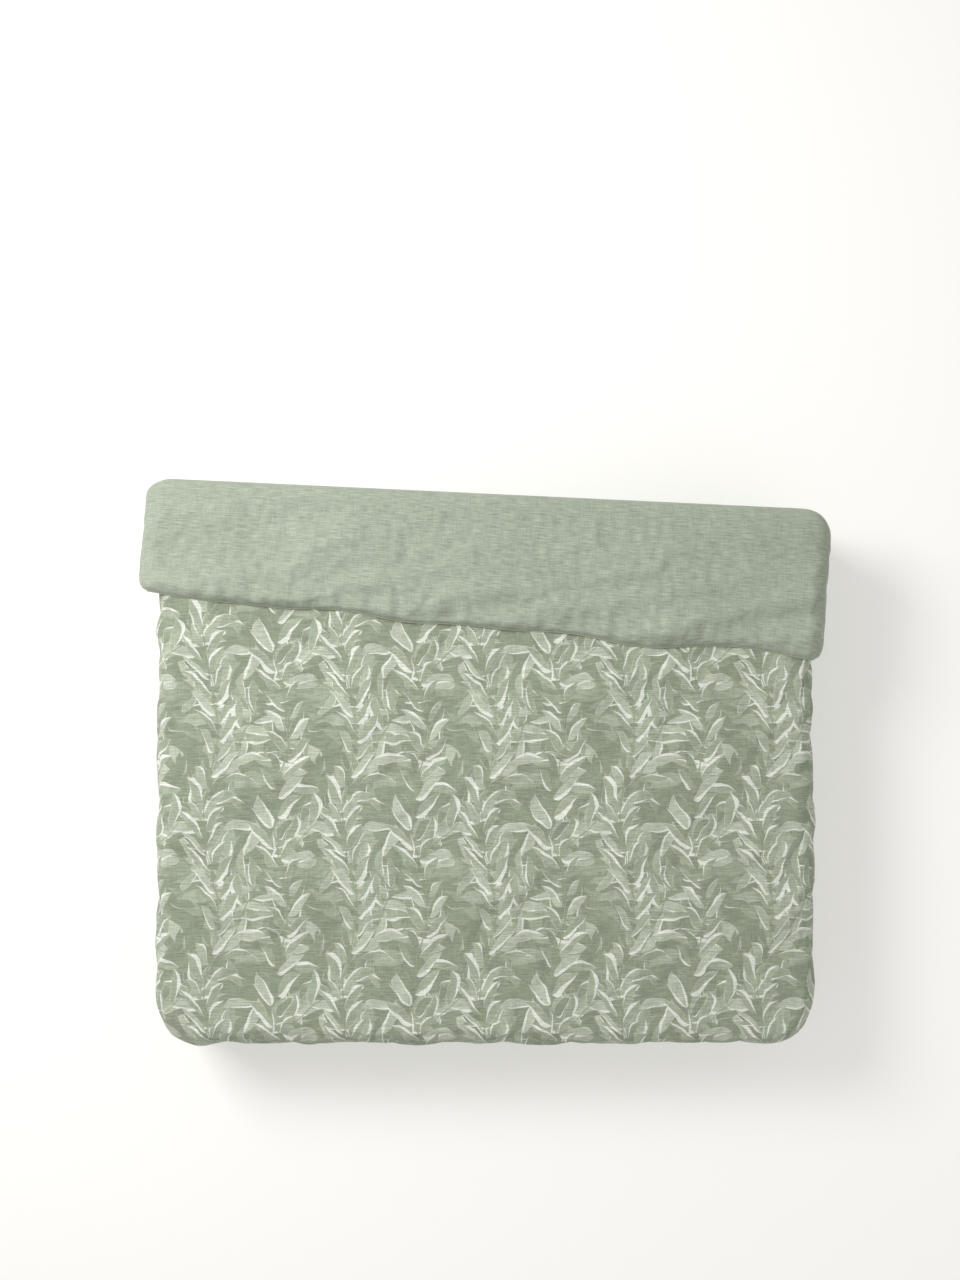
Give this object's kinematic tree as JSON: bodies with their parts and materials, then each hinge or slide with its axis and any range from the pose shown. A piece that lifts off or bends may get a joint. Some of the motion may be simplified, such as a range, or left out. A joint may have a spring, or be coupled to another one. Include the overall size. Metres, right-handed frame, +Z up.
{
  "type": "duvet",
  "caption": "Duvet as laid over a double bed, hanging at the sides and foot, with its head end folded back to show the plain reverse.",
  "frame": {"origin": "middle of the duvet's plan at the level of its hems", "axes": "+Z up, +Y towards the head of the bed, +X to the right seen from above with the head at the far side"},
  "size_m": [1.7432, 1.4161, 0.3937],
  "materials": {
    "printed_linen": "matt woven linen, leaf print in pale sage tones",
    "plain_linen": "matt woven linen, plain sage",
    "white_ticking": "matt close-woven cotton",
    "white_batt": "matt loose fibre",
    "white_tape": "matt woven cotton tape",
    "sage_button": "satin",
    "sage_thread": "matt polyester thread"
  },
  "bodies": {
    "duvet": {"cover_top_panel": "printed_linen", "cover_reverse_panel": "plain_linen", "insert_upper_ticking": "white_ticking", "insert_lower_ticking": "white_ticking", "insert_batt": "white_batt", "insert_edge_binding": "white_tape", "side_seam_left": "plain_linen", "side_seam_right": "plain_linen", "foot_hem_fold": "printed_linen", "foot_button_placket": "plain_linen", "foot_buttonhole_placket": "plain_linen", "button_1": "sage_button", "button_2": "sage_button", "button_3": "sage_button", "button_4": "sage_button", "button_5": "sage_button", "button_6": "sage_button", "button_7": "sage_button", "button_thread_1": "sage_thread", "button_thread_2": "sage_thread", "button_thread_3": "sage_thread", "button_thread_4": "sage_thread", "button_thread_5": "sage_thread", "button_thread_6": "sage_thread", "button_thread_7": "sage_thread", "corner_tie_left": "white_tape", "corner_tie_right": "white_tape", "insert_loop_left": "white_tape", "insert_loop_right": "white_tape", "care_label": "white_tape", "fold_cover_lower": "plain_linen", "fold_batt_lower": "white_batt"},
    "turn_back": {"turn_back_cover_top": "printed_linen", "turn_back_lower_ticking": "white_ticking", "turn_back_batt": "white_batt", "turn_back_upper_ticking": "white_ticking", "turn_back_cover_reverse": "plain_linen", "head_seam": "plain_linen", "fold_cover_upper": "plain_linen", "fold_batt_upper": "white_batt", "rim_cover_left": "plain_linen", "rim_cover_right": "plain_linen", "rim_batt_left": "white_batt", "rim_batt_right": "white_batt"},
    "turn_back_left_side": {"left_side_cover_top": "printed_linen", "left_side_batt": "white_batt", "left_side_cover_reverse": "plain_linen", "left_side_seam": "plain_linen", "left_side_fold_cover": "plain_linen"},
    "turn_back_right_side": {"right_side_cover_top": "printed_linen", "right_side_batt": "white_batt", "right_side_cover_reverse": "plain_linen", "right_side_seam": "plain_linen", "right_side_fold_cover": "plain_linen"}
  },
  "joints": [
    {"name": "crease_fold", "type": "hinge", "parent": "duvet", "child": "turn_back", "pos_m": [0, 0.63683, 0.36], "axis": [-0.9989, 0.0471, 0], "range_deg": [0, 179], "deforming": ["fold_cover_lower", "fold_batt_lower", "fold_cover_upper", "fold_batt_upper"]},
    {"name": "left_side_fold", "type": "hinge", "parent": "turn_back", "child": "turn_back_left_side", "pos_m": [-0.82976, 0.67596, 0.36], "axis": [0.0698, 0.9976, 0], "range_deg": [0, 179], "deforming": ["rim_cover_left", "rim_batt_left", "left_side_fold_cover"]},
    {"name": "right_side_fold", "type": "hinge", "parent": "turn_back", "child": "turn_back_right_side", "pos_m": [0.848, 0.59684, 0.36], "axis": [-0.0698, -0.9976, 0], "range_deg": [0, 179], "deforming": ["rim_cover_right", "rim_batt_right", "right_side_fold_cover"]}
  ],
  "couplings": [
    {"joint": "left_side_fold", "follows": "crease_fold", "ratio": 1},
    {"joint": "right_side_fold", "follows": "crease_fold", "ratio": 1}
  ]
}
